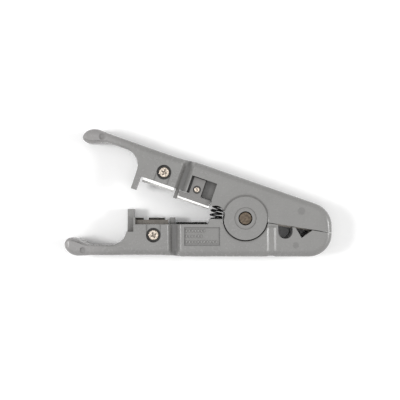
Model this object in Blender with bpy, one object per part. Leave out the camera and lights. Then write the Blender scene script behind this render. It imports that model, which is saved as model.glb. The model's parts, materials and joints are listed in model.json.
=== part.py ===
"""Squeeze-type cable stripper: two moulded levers on one pivot pin, held apart by a small
spring, with flat-cable blades at the long ends and a round-cable jaw at the nose.

The tool lies flat with its rest plane at z = 0 and the pivot axis on the origin.  X runs
from the finger hooks (-X) to the nose (+X).  Each lever is drawn in its own squeezed pose,
where its mating edge runs along X, and the upper lever's empty is then swung open.
Sizes are in millimetres and become metres where a mesh is made.
"""

import math
from collections import namedtuple

import bmesh
import bpy
from mathutils import Matrix, Vector
from mathutils.geometry import interpolate_bezier

MM = 0.001

# Overall sizes
HEAD_THICK = 16.0
ARM_DROP = 1.0
OPEN_DEG = 19.2
NOSE_X = 40.8
LOWER_TIP_X = -85.3
UPPER_TIP_X = -85.1

# Clearances
GAP = 0.3
LAP_GAP = 0.3
DISC_GAP = 0.5
JAW_GAP = 0.3
MATING_GAP = 0.6
SLIP = 0.02
RUN_OUT = 2.0

# Pivot
DISC_R = 10.2
RIM_WIDTH = 0.9
RIM_DEPTH = 0.5
RIM_FOOT = (0.1, 0.8)
PIN_R = 3.0
PIN_CHAMFER = 0.25
PIN_SINK = 0.5
PIN_RECESS_R = 5.2
PIN_RECESS_DEPTH = 0.35

# Head section
LOWER_HEAD_W = 18.05
UPPER_HEAD_W = 17.4
EDGE_FILLET = 3.0
LOWER_NOSE_R = 10.7
UPPER_NOSE_R = 11.0
JAW_SLOPE_DEG = -9.1
JAW_OFFSET = 0.4

# Arm section
LOWER_ARM_W = 17.4
UPPER_ARM_W = 16.5
ARM_INNER_W = 12.6
ARM_FILLET = 2.1
INNER_FILLET = 0.9
LOWER_ARC_R = 7.5
UPPER_ARC_R = 8.6
HOOK_LENGTH = 6.4
HOOK_CREST_SHARE = 0.46
HOOK_NECK = 13.4
HOOK_RISE = 3.4
HOOK_SWELL = 0.35
HOOK_TIP_DROP = 5.2
HOOK_FILLET = 3.0
HOOK_LEDGE = ((0.0, 3.6), (0.15, 2.6), (1.25, 1.9), (1.35, 0.0))
HOOK_LEDGE_RUN = 6.0
DIMPLE_R = 1.4
DIMPLE_DEPTH = 0.9
DIMPLE_FROM_TIP = 8.9
DIMPLE_INSET = 2.4

# Grip groove between the arm and the head
GROOVE_X = -33.5
GROOVE_HALF = 3.9
GROOVE_DEPTH = 2.7
GROOVE_FLOOR = 0.5
GROOVE_FLANK = 2.9
GROOVE_LEAD = 2.5

# Blade bay along the mating edge
LOWER_EDGE_W = 2.8
UPPER_EDGE_W = 2.5
EDGE_OVERLAP = 1.0
BAY_TO_SPRING = 1.1
BAY_RAMP = 1.2
NOTCH_X = -52.6
NOTCH_W = 6.3
NOTCH_PAST_ARM = 12.0
GUARD_REACH = 4.3
GUARD_WIDTH = 3.0
GUARD_INSET = 0.05
TAB_WIDTH = 2.4
TAB_GAP = 0.5
STUD_WIDTH = 2.8
STUD_SHIFT = 0.4
STUD_REACH = 0.2
NUB_WIDTH = 1.6
NUB_SHIFT = 0.3
NUB_REACH = 2.0
RIB_SINK = 0.2

# Flat left on each ground edge, to either side of its middle
EDGE_LAND = 0.05

# Stripping blades and their screws
STRIP_THICK = 0.8
STRIP_LENGTH = 15.6
STRIP_BODY_W = 11.0
STRIP_BEVEL = 1.0
STRIP_EDGE_GAP = 0.2
STRIP_LIFT = 0.15
STRIP_NOTCH = 2.4
STRIP_TOOTH = 3.8
END_STOP_WIDTH = 0.8
END_STOP_REACH = 0.6
SCREW_FROM_NOTCH = 9.4
SCREW_W = 7.9
SCREW_HEAD_R = 2.45
SCREW_HEAD_H = 2.3
SCREW_SHANK_R = 1.25
SCREW_BORE_R = 3.45
SCREW_BORE_DEPTH = 3.7
SCREW_TIP_Z = 3.4
CROSS_RISE = 0.2
RELIEF_DEPTH = 0.4

# Cutter, its carrier and the anvil
CUTTER_THICK = 1.0
CUTTER_EDGE_W = -1.8
CUTTER_BODY_W = 1.9
TANG_W = 8.0
TANG_INSET = 0.3
TANG_THIN = 0.04
CUTTER_BEVEL = 0.6
CUTTER_PAST_GROOVE = 1.1
ANVIL_THICK = 2.0
ANVIL_BODY_W = 6.2
ANVIL_GAP = 0.2
ANVIL_END_R = 0.5
WINDOW_X0 = -30.1
WINDOW_W = 10.9
SHELF_DEPTH = 4.4
STEM_X0 = -28.9
STEM_WIDTH = 5.7
CARRIER_SINK = 1.2
CARRIER_EDGE_W = -0.35
CARRIER_SCREW_X = -25.9
CARRIER_SCREW_W = 5.2
CARRIER_HEAD_R = 1.2
CARRIER_HEAD_H = 0.8
CARRIER_SHANK_R = 0.8
CARRIER_SPOT_R = 1.9

# Spring
SPRING_OD = 5.6
SPRING_WIRE = 0.9
SPRING_SEAT = 4.9
SPRING_TURNS = 8.0
SPRING_TO_DISC = 0.7
SPRING_POCKET_GAP = 0.4
SPRING_ARCH = 1.0

# Round-cable jaw
CABLE_X = 18.7
CABLE_R = 3.4
CABLE_DEPTH = 6.0
VEE_X = 26.3
VEE_LEFT = 2.85
VEE_RIGHT = 5.05
VEE_DEPTH = 4.4
JAW_BLADE_THICK = 0.6
JAW_BLADE_X0 = 14.0
JAW_BLADE_X1 = 34.0
JAW_BLADE_REACH = 0.8
JAW_BLADE_BODY = 3.5
JAW_BLADE_BEVEL = 0.8

# Groove and blank panel on the lower head
BAND_X = 12.2
BAND_FLAT = 1.0
BAND_FLANK = 1.3
BAND_ROUND = 0.15
BAND_DEPTH = 0.6
BAND_START = 3.4
BAND_LEAD = 1.0
PANEL_X0 = -28.7
PANEL_X1 = -11.9
PANEL_W0 = 4.1
PANEL_W1 = 12.8
PANEL_DEPTH = 0.4

# A corner's rounding takes no more than this share of the shorter wall beside it
WALL_SHARE = 0.98

# Derived sizes
MID = HEAD_THICK / 2.0
ARM_HALF = MID - ARM_DROP
FAR_TOP = MID - LAP_GAP / 2.0
NEAR_BASE = MID + LAP_GAP / 2.0
SOCKET_R = DISC_R + DISC_GAP
SPRING_RADIUS = DISC_R + SPRING_TO_DISC + SPRING_OD / 2.0
SCREW_X = NOTCH_X + SCREW_FROM_NOTCH
BAY_END_X = -(SPRING_RADIUS + SPRING_OD / 2.0 + BAY_TO_SPRING)
SHELF_END_X = BAY_END_X - 0.2
ABOVE = HEAD_THICK + RUN_OUT
BELOW = -RUN_OUT

Lever = namedtuple("Lever", "name side head_w arm_w edge_w tip_x arc_r column_x")


# Small helpers

def clear_scene():
    """Start from an empty scene."""
    for obj in list(bpy.data.objects):
        bpy.data.objects.remove(obj, do_unlink=True)


def paint(name, color, roughness, metallic):
    """A Principled material with the piece's colour."""
    material = bpy.data.materials.new(name)
    material.use_nodes = True
    shader = material.node_tree.nodes["Principled BSDF"]
    shader.inputs["Base Color"].default_value = (*color, 1.0)
    shader.inputs["Roughness"].default_value = roughness
    shader.inputs["Metallic"].default_value = metallic
    material.diffuse_color = (*color, 1.0)
    return material


def add_object(name, bm, parent, material=None):
    """Close a bmesh drawn in millimetres into an object in metres."""
    bmesh.ops.remove_doubles(bm, verts=bm.verts, dist=1e-4)
    bmesh.ops.recalc_face_normals(bm, faces=bm.faces)
    bmesh.ops.scale(bm, verts=bm.verts, vec=(MM, MM, MM))
    mesh = bpy.data.meshes.new(name)
    bm.to_mesh(mesh)
    bm.free()
    obj = bpy.data.objects.new(name, mesh)
    bpy.context.scene.collection.objects.link(obj)
    obj.parent = parent
    if material is not None:
        mesh.materials.append(material)
    mesh.shade_smooth()
    mesh.set_sharp_from_angle(angle=math.radians(32.0))
    return obj


def boolean(target, tool, operation):
    """Cut or fuse a tool body, kept as a hidden guide, into the target."""
    tool.hide_render = True
    tool.display_type = "WIRE"
    modifier = target.modifiers.new(operation.lower() + "_" + tool.name, "BOOLEAN")
    modifier.operation = operation
    modifier.object = tool
    modifier.solver = "EXACT"


def cut(target, tool):
    """Take the tool body away from the target."""
    boolean(target, tool, "DIFFERENCE")


def fuse(target, tool):
    """Join the tool body to the target."""
    boolean(target, tool, "UNION")


def box(name, x_range, y_range, z_range, parent, material=None):
    """A block between two corners, in either order along each axis."""
    low = Vector((min(x_range), min(y_range), min(z_range)))
    high = Vector((max(x_range), max(y_range), max(z_range)))
    bm = bmesh.new()
    bmesh.ops.create_cube(bm, size=1.0)
    bmesh.ops.scale(bm, verts=bm.verts, vec=high - low)
    bmesh.ops.translate(bm, verts=bm.verts, vec=(high + low) / 2.0)
    return add_object(name, bm, parent, material)


def post(name, x, y, radius, z_range, parent, sides=32):
    """An upright cylinder."""
    bm = bmesh.new()
    height = z_range[1] - z_range[0]
    place = Matrix.Translation((x, y, (z_range[0] + z_range[1]) / 2.0))
    bmesh.ops.create_cone(bm, cap_ends=True, segments=sides, radius1=radius, radius2=radius,
                          depth=height, matrix=place)
    return add_object(name, bm, parent)


def extrude(name, outline, z_range, parent, material=None):
    """An outline in the XY plane pushed up from one height to another."""
    bm = bmesh.new()
    face = bm.faces.new([bm.verts.new((x, y, z_range[0])) for x, y in outline])
    grown = bmesh.ops.extrude_face_region(bm, geom=[face])
    top = [item for item in grown["geom"] if isinstance(item, bmesh.types.BMVert)]
    bmesh.ops.translate(bm, verts=top, vec=(0.0, 0.0, z_range[1] - z_range[0]))
    return add_object(name, bm, parent, material)


def turned(name, profile, x, y, parent, material=None, steps=32):
    """A closed profile of (radius, height) points spun round an upright axis."""
    bm = bmesh.new()
    ring = [bm.verts.new((x + radius, y, z)) for radius, z in profile]
    edges = [bm.edges.new((ring[i], ring[(i + 1) % len(ring)])) for i in range(len(ring))]
    bmesh.ops.spin(bm, geom=ring + edges, cent=(x, y, 0.0), axis=(0.0, 0.0, 1.0),
                   angle=2.0 * math.pi, steps=steps, use_merge=True)
    bmesh.ops.dissolve_degenerate(bm, dist=1e-4, edges=bm.edges)
    return add_object(name, bm, parent, material)


def skin(name, rings, parent, material=None):
    """Join equal rings of points into one closed body with flat ends."""
    bm = bmesh.new()
    rows = [[bm.verts.new(point) for point in ring] for ring in rings]
    count = len(rows[0])
    for row, following in zip(rows, rows[1:]):
        for i in range(count):
            j = (i + 1) % count
            bm.faces.new((row[i], row[j], following[j], following[i]))
    bm.faces.new(rows[0])
    bm.faces.new(rows[-1])
    return add_object(name, bm, parent, material)


def smooth_step(value, low, high):
    """0 before low, 1 after high, with an even rise between them."""
    t = min(max((value - low) / (high - low), 0.0), 1.0)
    return t * t * (3.0 - 2.0 * t)


def bell(distance, flat, flank):
    """1 on a flat floor, falling to 0 over a rounded flank."""
    t = min(max((abs(distance) - flat) / flank, 0.0), 1.0)
    return 0.5 + 0.5 * math.cos(math.pi * t)


def height_at(curve, x):
    """Where a polyline that runs along +X stands at x."""
    for (x0, y0), (x1, y1) in zip(curve, curve[1:]):
        if x0 <= x <= x1:
            return y0 + (y1 - y0) * (x - x0) / max(x1 - x0, 1e-9)
    return curve[0][1] if x < curve[0][0] else curve[-1][1]


def turn(x, y, degrees):
    """Turn a point about the pivot."""
    angle = math.radians(degrees)
    cos_a = math.cos(angle)
    sin_a = math.sin(angle)
    return x * cos_a - y * sin_a, x * sin_a + y * cos_a


# Outlines with rounded corners and edges

def round_corners(corners, step_deg=9.0):
    """Corners are (x, y, corner radius, edge fillet up to the next corner)."""
    points = []
    fillets = []
    count = len(corners)
    for i, (x, y, radius, fillet) in enumerate(corners):
        before = Vector(corners[i - 1][:2]) - Vector((x, y))
        after = Vector(corners[(i + 1) % count][:2]) - Vector((x, y))
        turn_angle = math.pi - before.angle(after)
        steps = max(1, math.ceil(math.degrees(turn_angle) / step_deg))
        if radius <= 0.0:
            points.append((x, y))
            fillets.append(fillet)
            continue
        wall = min(before.length, after.length)
        radius = min(radius, WALL_SHARE * wall / math.tan(turn_angle / 2.0))
        reach = radius * math.tan(turn_angle / 2.0)
        start = Vector((x, y)) + before.normalized() * reach
        bisector = (before.normalized() + after.normalized()).normalized()
        centre = Vector((x, y)) + bisector * math.hypot(radius, reach)
        spoke = start - centre
        sign = 1.0 if before.x * after.y - before.y * after.x < 0.0 else -1.0
        for k in range(steps + 1):
            angle = sign * turn_angle * k / steps
            points.append(tuple(centre + Matrix.Rotation(angle, 2) @ spoke))
            fillets.append(fillet)
    return points, fillets


def inset_point(points, fillets, i, share):
    """Point i of an anticlockwise outline, moved in by a share of each edge's fillet."""
    here = Vector(points[i])
    into = (here - Vector(points[i - 1])).normalized()
    out = (Vector(points[(i + 1) % len(points)]) - here).normalized()
    normal_in = Vector((-into.y, into.x))
    normal_out = Vector((-out.y, out.x))
    move_in = fillets[i - 1] * share
    move_out = fillets[i] * share
    spread = normal_in.x * normal_out.y - normal_in.y * normal_out.x
    if abs(spread) > 0.3:
        dx = (move_in * normal_out.y - move_out * normal_in.y) / spread
        dy = (normal_in.x * move_out - normal_out.x * move_in) / spread
        return here + Vector((dx, dy))
    middle = (normal_in + normal_out).normalized()
    return here + middle * (move_in + move_out) / 2.0 / middle.dot(normal_in)


def filleted_slab(name, corners, half, parent, material, rings=5):
    """A slab about the mid plane whose marked outer edges are rounded on both faces."""
    points, fillets = round_corners(corners)
    layers = []
    for side in (-1.0, 1.0):
        sweep = range(rings + 1) if side > 0.0 else range(rings, -1, -1)
        for k in sweep:
            angle = math.pi / 2.0 * k / rings
            layer = []
            for i in range(len(points)):
                radius = max(fillets[i - 1], fillets[i])
                place = inset_point(points, fillets, i, 1.0 - math.cos(angle))
                rise = half - radius * (1.0 - math.sin(angle))
                layer.append((place.x, place.y, MID + side * rise))
            layers.append(layer)
    return skin(name, layers, parent, material)


# Levers

def jaw_line(x, lever):
    """Height of a lever's jaw face over x, in the rest pose."""
    gap = JAW_GAP / 2.0 / math.cos(math.radians(JAW_SLOPE_DEG))
    return -JAW_OFFSET + x * math.tan(math.radians(JAW_SLOPE_DEG)) + lever.side * gap


def head(lever, parent, material):
    """The thick head: bay edge, mating edge, jaw face and rounded nose."""
    side = lever.side
    swing = OPEN_DEG if side > 0.0 else 0.0
    join_x = GROOVE_X + GROOVE_HALF
    root = turn(0.0, jaw_line(0.0, lever), swing)
    tip = turn(NOSE_X, jaw_line(NOSE_X, lever), swing)
    outer = side * lever.head_w
    slope = math.radians(90.0 + swing)
    reach = (outer - tip[1]) / math.sin(slope) * side
    corner = (tip[0] + side * reach * math.cos(slope), outer)
    nose_r = UPPER_NOSE_R if side > 0.0 else LOWER_NOSE_R
    ramp = 0.0 if side > 0.0 else BAY_RAMP
    corners = [
        (join_x, side * lever.edge_w, 0.0, 0.0),
        (join_x, outer, 0.0, EDGE_FILLET),
        (corner[0], corner[1], nose_r, EDGE_FILLET),
        (tip[0], tip[1], 0.0, 0.0),
        (root[0], root[1], 0.0, 0.0),
        (BAY_END_X + ramp, side * MATING_GAP / 2.0, 0.6, 0.0),
        (BAY_END_X, side * lever.edge_w, 0.0, 0.0),
    ]
    if side > 0.0:
        turned_over = corners[::-1]
        fillets = [item[3] for item in corners]
        shifted = [fillets[(len(corners) - 2 - i) % len(corners)] for i in range(len(corners))]
        corners = [(x, y, r, f) for (x, y, r, _), f in zip(turned_over, shifted)]
    return filleted_slab(lever.name, corners, MID, parent, material)


def hook_curves(lever):
    """The hook's inner and outer edges as polylines from the tip along +X."""
    tip = Vector((lever.tip_x, lever.arm_w - HOOK_TIP_DROP))
    crest = Vector((lever.tip_x + HOOK_CREST_SHARE * HOOK_LENGTH, ARM_INNER_W - HOOK_RISE))
    neck = Vector((lever.tip_x + HOOK_NECK, ARM_INNER_W))
    heel = Vector((lever.tip_x + HOOK_LENGTH, lever.arm_w + HOOK_SWELL))
    tip_pull = 0.45 * (tip.y - crest.y)
    crest_pull = 0.6 * (crest.x - tip.x)
    neck_pull = 0.3 * (neck.x - crest.x)
    heel_pull = 0.55
    to_crest = interpolate_bezier(tip, tip - Vector((0.0, tip_pull)),
                                  crest - Vector((crest_pull, 0.0)), crest, 24)
    to_neck = interpolate_bezier(crest, crest + Vector((neck_pull, 0.0)),
                                 neck - Vector((neck_pull, 0.0)), neck, 24)
    to_heel = interpolate_bezier(tip, tip + Vector((0.0, heel_pull * (heel.y - tip.y))),
                                 heel - Vector((heel_pull * (heel.x - tip.x), 0.0)), heel, 32)
    inner = [(p.x, p.y) for p in to_crest + to_neck[1:]]
    outer = [(p.x, p.y) for p in to_heel]
    return inner, outer


def arm_stations(lever, arc_x):
    """Where the arm's cross-sections stand: close together where the form turns."""
    stations = []
    for k in range(1, 11):
        share = 1.0 - math.cos(math.pi / 2.0 * k / 10.0)
        stations.append(lever.tip_x + 0.03 + HOOK_LENGTH * share)
    for k in range(1, 6):
        stations.append(lever.tip_x + HOOK_LENGTH + (HOOK_NECK - HOOK_LENGTH) * k / 5.0)
    for k in range(0, 11):
        stations.append(arc_x + lever.arc_r * math.sin(math.pi / 2.0 * k / 10.0))
    groove_start = GROOVE_X - GROOVE_HALF
    stations.append(groove_start - GROOVE_LEAD)
    for k in range(0, 19):
        stations.append(groove_start + 2.0 * GROOVE_HALF * k / 18.0)
    stations.append(GROOVE_X + GROOVE_HALF + 0.4 * GROOVE_LEAD)
    return stations


def arm_section(lever, x, curves, arc_x):
    """Inner edge, outer edge, half thickness, both fillets and the ledge's share at x."""
    inner_curve, outer_curve = curves
    from_tip = x - lever.tip_x
    arc_w = ARM_INNER_W - lever.arc_r
    swell = 1.0 - smooth_step(from_tip, HOOK_LENGTH, HOOK_NECK)
    outer = lever.arm_w + HOOK_SWELL * swell
    inner = ARM_INNER_W
    if from_tip < HOOK_LENGTH:
        outer = height_at(outer_curve, x)
    if from_tip < HOOK_NECK:
        inner = height_at(inner_curve, x)
    elif x > arc_x + lever.arc_r - 1e-6:
        inner = lever.edge_w + SLIP
    elif x > arc_x:
        inner = arc_w + math.sqrt(max(lever.arc_r ** 2 - (x - arc_x) ** 2, 0.0))
    step = smooth_step(x, GROOVE_X - GROOVE_HALF - GROOVE_LEAD,
                       GROOVE_X + GROOVE_HALF)
    outer += (lever.head_w - SLIP - lever.arm_w) * step
    level = smooth_step(x, GROOVE_X - GROOVE_HALF, GROOVE_X + GROOVE_HALF)
    half = ARM_HALF + (MID - SLIP - ARM_HALF) * level
    half -= GROOVE_DEPTH * bell(x - GROOVE_X, GROOVE_FLOOR, GROOVE_FLANK)
    if from_tip < HOOK_FILLET:
        half -= HOOK_FILLET - math.sqrt(HOOK_FILLET ** 2 - (HOOK_FILLET - from_tip) ** 2)
    headed = smooth_step(x, arc_x, arc_x + lever.arc_r)
    outer_fillet = ARM_FILLET + (HOOK_FILLET - ARM_FILLET) * swell
    outer_fillet += (EDGE_FILLET - ARM_FILLET) * headed
    rounded = 1.0 - smooth_step(from_tip, 0.0, HOOK_LENGTH)
    inner_fillet = INNER_FILLET + (HOOK_FILLET - INNER_FILLET) * rounded
    if x > lever.column_x - 0.01:
        inner_fillet = 2.0 * SLIP
    room = 0.48 * (outer - inner)
    ledge = smooth_step(from_tip, 0.0, HOOK_LENGTH / 3.0)
    ledge *= 1.0 - smooth_step(from_tip, HOOK_LENGTH, HOOK_LENGTH + HOOK_LEDGE_RUN)
    return inner, outer, half, min(inner_fillet, room), min(outer_fillet, room), ledge


def section_ring(lever, x, inner, outer, half, inner_fillet, outer_fillet, ledge):
    """One cross-section of the arm, as a ring of points, with a ledge on its inner side."""
    corners = [
        (inner + inner_fillet, half - inner_fillet, inner_fillet, 180.0, 3),
        (outer - outer_fillet, half - outer_fillet, outer_fillet, 90.0, 5),
        (outer - outer_fillet, outer_fillet - half, outer_fillet, 0.0, 5),
        (inner + inner_fillet, inner_fillet - half, inner_fillet, -90.0, 3),
    ]
    ring = []
    for w, z, radius, start, steps in corners:
        inside = w < (inner + outer) / 2.0
        for k in range(steps + 1):
            angle = math.radians(start - 90.0 * k / steps)
            across = w + radius * math.cos(angle)
            height = z + radius * math.sin(angle)
            if inside:
                reach, drop = HOOK_LEDGE[k if z > 0.0 else steps - k]
                level = math.copysign(max(half - drop, 0.2 * half), z)
                across += ledge * (inner + reach - across)
                height += ledge * (level - height)
            ring.append((x, lever.side * across, MID + height))
    return ring


def arm(lever, parent):
    """The arm with its finger hook, lofted through its cross-sections."""
    arc_x = lever.column_x - lever.arc_r
    curves = hook_curves(lever)
    rings = []
    for x in arm_stations(lever, arc_x):
        rings.append(section_ring(lever, x, *arm_section(lever, x, curves, arc_x)))
    return skin(lever.name + "_arm", rings, parent)


def rim_cutter(lever, parent, top):
    """The rounded rim round the pivot disc, on one face."""
    level = HEAD_THICK if top else 0.0
    up = 1.0 if top else -1.0
    profile = [
        (DISC_R, level + up),
        (DISC_R, level - up * RIM_DEPTH),
        (SOCKET_R, level - up * RIM_DEPTH),
        (SOCKET_R + RIM_FOOT[0] * RIM_WIDTH, level - up * RIM_FOOT[1] * RIM_DEPTH),
        (SOCKET_R + RIM_WIDTH, level + up * SLIP),
        (SOCKET_R + RIM_WIDTH, level + up),
    ]
    return turned(lever.name + ("_rim_top" if top else "_rim_base"), profile, 0.0, 0.0,
                  parent, steps=72)


def pivot_cuts(lever, body, parent):
    """Lap joint: own half of the disc stays, the other lever's half gets a socket."""
    near = lever.side > 0.0
    own = (NEAR_BASE, HEAD_THICK) if near else (0.0, FAR_TOP)
    other = (BELOW, NEAR_BASE) if near else (FAR_TOP, ABOVE)
    cut(body, post(lever.name + "_socket", 0.0, 0.0, SOCKET_R, other, parent, sides=72))
    for top in (False, True):
        cut(body, rim_cutter(lever, parent, top))
    fuse(body, post(lever.name + "_disc", 0.0, 0.0, DISC_R, own, parent, sides=72))
    cut(body, post(lever.name + "_pin_hole", 0.0, 0.0, PIN_R + GAP, (BELOW, ABOVE), parent))
    face = (HEAD_THICK - PIN_RECESS_DEPTH, ABOVE) if near else (BELOW, PIN_RECESS_DEPTH)
    cut(body, post(lever.name + "_pin_recess", 0.0, 0.0, PIN_RECESS_R, face, parent, sides=48))


def lap_column(lever, body, parent):
    """Guard column on one half of the depth, and the notch for the other lever's."""
    near = lever.side > 0.0
    width = TAB_WIDTH if near else GUARD_WIDTH
    face = ARM_HALF - GUARD_INSET
    own = (NEAR_BASE, MID + face) if near else (MID - face, FAR_TOP)
    other = (BELOW, NEAR_BASE) if near else (FAR_TOP, ABOVE)
    x_range = (lever.column_x + SLIP, lever.column_x + width)
    w_range = (-lever.side * GUARD_REACH, lever.side * (NOTCH_W + 1.5))
    fuse(body, box(lever.name + "_column", x_range, w_range, own, parent))
    notch_x = (NOTCH_X - NOTCH_PAST_ARM, NOTCH_X)
    notch_w = (-lever.side * (GUARD_REACH + RUN_OUT), lever.side * NOTCH_W)
    cut(body, box(lever.name + "_notch", notch_x, notch_w, other, parent))


def strip_seat(lever, body, parent):
    """Slot for the stripping blade, screw bore and the shallow relief above it."""
    side = lever.side
    x_range = strip_range()
    slot_x = (x_range[0] - GAP, x_range[1] + GAP)
    slot_w = (-side * 2.0 * RUN_OUT, side * (STRIP_BODY_W + GAP))
    slot_z = (MID - STRIP_THICK / 2.0 - GAP, MID + STRIP_THICK / 2.0 + GAP)
    cut(body, box(lever.name + "_strip_slot", slot_x, slot_w, slot_z, parent))
    face = MID + ARM_HALF
    y = side * SCREW_W
    relief_z = (face - RELIEF_DEPTH, ABOVE)
    relief_x = (SCREW_X - SCREW_BORE_R, SCREW_X + SCREW_BORE_R)
    relief = box(lever.name + "_relief", relief_x, (side * (lever.edge_w - RUN_OUT), y), relief_z, parent)
    cut(body, relief)
    bore_z = (face - SCREW_BORE_DEPTH, ABOVE)
    cut(body, post(lever.name + "_bore", SCREW_X, y, SCREW_BORE_R + 0.01, bore_z, parent))
    hole_z = (SCREW_TIP_Z - GAP, ABOVE)
    hole_r = SCREW_SHANK_R + GAP
    cut(body, post(lever.name + "_screw_hole", SCREW_X, y, hole_r, hole_z, parent, sides=20))


def spring_pocket(lever, body, parent):
    """Round pocket that holds one end of the spring, bored from the mating edge."""
    bm = bmesh.new()
    depth = SPRING_SEAT + RUN_OUT
    centre = (-SPRING_RADIUS, lever.side * (SPRING_SEAT - depth / 2.0), MID)
    place = Matrix.Translation(centre) @ Matrix.Rotation(math.pi / 2.0, 4, "X")
    radius = SPRING_OD / 2.0 + SPRING_POCKET_GAP
    bmesh.ops.create_cone(bm, cap_ends=True, segments=28, radius1=radius, radius2=radius,
                          depth=depth, matrix=place)
    cut(body, add_object(lever.name + "_spring_pocket", bm, parent))


def hook_dimple(lever, body, parent):
    """Blind round hole at the root of the hook, on the near face."""
    x = lever.tip_x + DIMPLE_FROM_TIP
    y = lever.side * (lever.arm_w - DIMPLE_INSET)
    z_range = (MID + ARM_HALF - DIMPLE_DEPTH, ABOVE)
    cut(body, post(lever.name + "_dimple", x, y, DIMPLE_R, z_range, parent, sides=20))


def moulded_lever(lever, parent, material):
    """What both levers share."""
    body = head(lever, parent, material)
    fuse(body, arm(lever, parent))
    lap_column(lever, body, parent)
    pivot_cuts(lever, body, parent)
    strip_seat(lever, body, parent)
    spring_pocket(lever, body, parent)
    hook_dimple(lever, body, parent)
    return body


def jaw_point(along, off, swing):
    """A point along the jaw face's line, moved off it at right angles."""
    slope = math.radians(JAW_SLOPE_DEG)
    x = along * math.cos(slope) - off * math.sin(slope)
    y = -JAW_OFFSET + along * math.sin(slope) + off * math.cos(slope)
    return turn(x, y, swing)


def jaw_strip(name, along, off, z_range, swing, parent, material=None):
    """A straight bar along the jaw face."""
    outline = [
        jaw_point(along[0], off[0], swing),
        jaw_point(along[1], off[0], swing),
        jaw_point(along[1], off[1], swing),
        jaw_point(along[0], off[1], swing),
    ]
    return extrude(name, outline, z_range, parent, material)


def cable_openings(lever, body, parent):
    """The round seat, the V notch and the blade's slot in the lower jaw."""
    through = (BELOW, ABOVE)
    top = jaw_line(CABLE_X, lever) + RUN_OUT
    bottom = jaw_line(CABLE_X, lever) - CABLE_DEPTH
    corners = [
        (CABLE_X - CABLE_R, top, 0.0, 0.0),
        (CABLE_X - CABLE_R, bottom, CABLE_R * 0.999, 0.0),
        (CABLE_X + CABLE_R, bottom, CABLE_R * 0.999, 0.0),
        (CABLE_X + CABLE_R, top, 0.0, 0.0),
    ]
    outline, _ = round_corners(corners, step_deg=10.0)
    cut(body, extrude(lever.name + "_cable_seat", outline, through, parent))
    apex = jaw_line(VEE_X, lever) - VEE_DEPTH
    lift = 1.5
    vee = [(VEE_X, apex)]
    for reach in (VEE_RIGHT, -VEE_LEFT):
        rise = jaw_line(VEE_X + reach, lever) - apex
        vee.append((VEE_X + reach * lift, apex + rise * lift))
    cut(body, extrude(lever.name + "_vee", vee, through, parent))
    half = JAW_BLADE_THICK / 2.0 + GAP
    along = (JAW_BLADE_X0 - GAP, JAW_BLADE_X1 + GAP)
    off = (-JAW_BLADE_REACH - GAP, RUN_OUT)
    cut(body, jaw_strip(lever.name + "_blade_slot", along, off, (MID - half, MID + half), 0.0,
                        parent))


def band_groove(lever, body, parent):
    """A shallow groove across the lower head that wraps round its outer edge."""
    side = lever.side
    flat_end = lever.head_w - EDGE_FILLET
    path = [(BAND_START + BAND_LEAD * k, 0.0, 1.0, k) for k in (0.0, 0.5, 1.0)]
    path.append((flat_end, 0.0, 1.0, 1.0))
    for k in range(1, 6):
        angle = math.pi / 2.0 * k / 5.0
        w = flat_end + EDGE_FILLET * math.sin(angle)
        drop = EDGE_FILLET * (1.0 - math.cos(angle))
        path.append((w, drop, math.cos(angle), 1.0 - 0.5 * k / 5.0))
    lower_path = [(w, HEAD_THICK - drop, -up, deep) for w, drop, up, deep in path[::-1]]
    span = BAND_FLAT + BAND_FLANK
    round_share = BAND_ROUND / BAND_FLANK
    half_profile = [
        (BAND_FLAT - BAND_ROUND, 1.0),
        (BAND_FLAT + BAND_ROUND, 1.0 - round_share),
        (span - BAND_ROUND, round_share),
        (span + BAND_ROUND, 0.0),
    ]
    profile = [(-offset, share) for offset, share in half_profile[::-1]] + half_profile
    rings = []
    for w, drop, up, deep in path + lower_path:
        out = math.sqrt(max(1.0 - up * up, 0.0))
        z = HEAD_THICK - drop
        floor = []
        cover = []
        for offset, share in profile:
            sink = BAND_DEPTH * deep * share - SLIP
            floor.append((BAND_X + offset, side * (w - out * sink), z - up * sink))
            cover.append((BAND_X + offset, side * (w + out), z + up))
        rings.append(floor + cover[::-1])
    cut(body, skin(lever.name + "_band", rings, parent))


def lower_lever(lever, parent, material):
    """The lower lever: stud, anvil slot, cable openings, cross groove and blank panel."""
    body = moulded_lever(lever, parent, material)
    stud_x = (GROOVE_X + STUD_SHIFT - STUD_WIDTH, GROOVE_X + STUD_SHIFT)
    stud_z = (MID - ARM_HALF + GROOVE_DEPTH + RIB_SINK, MID - CUTTER_THICK / 2.0 - GAP)
    fuse(body, box("lower_stud", stud_x, (STUD_REACH, -lever.edge_w - EDGE_OVERLAP), stud_z, parent))
    stop_x = (NOTCH_X, NOTCH_X + END_STOP_WIDTH)
    stop_z = (MID + STRIP_THICK / 2.0 + GAP, MID + ARM_HALF - GUARD_INSET)
    stop_w = (END_STOP_REACH, -lever.edge_w - EDGE_OVERLAP)
    fuse(body, box("lower_end_stop", stop_x, stop_w, stop_z, parent))
    x_range = anvil_range()
    half = ANVIL_THICK / 2.0 + GAP
    slot_x = (x_range[0] - GAP, x_range[1] + GAP)
    slot_w = (RUN_OUT, -ANVIL_BODY_W - GAP)
    cut(body, box("anvil_slot", slot_x, slot_w, (MID - half, MID + half), parent))
    cable_openings(lever, body, parent)
    band_groove(lever, body, parent)
    panel_z = (HEAD_THICK - PANEL_DEPTH, ABOVE)
    cut(body, box("blank_panel", (PANEL_X0, PANEL_X1), (-PANEL_W0, -PANEL_W1), panel_z, parent))
    return body


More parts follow.
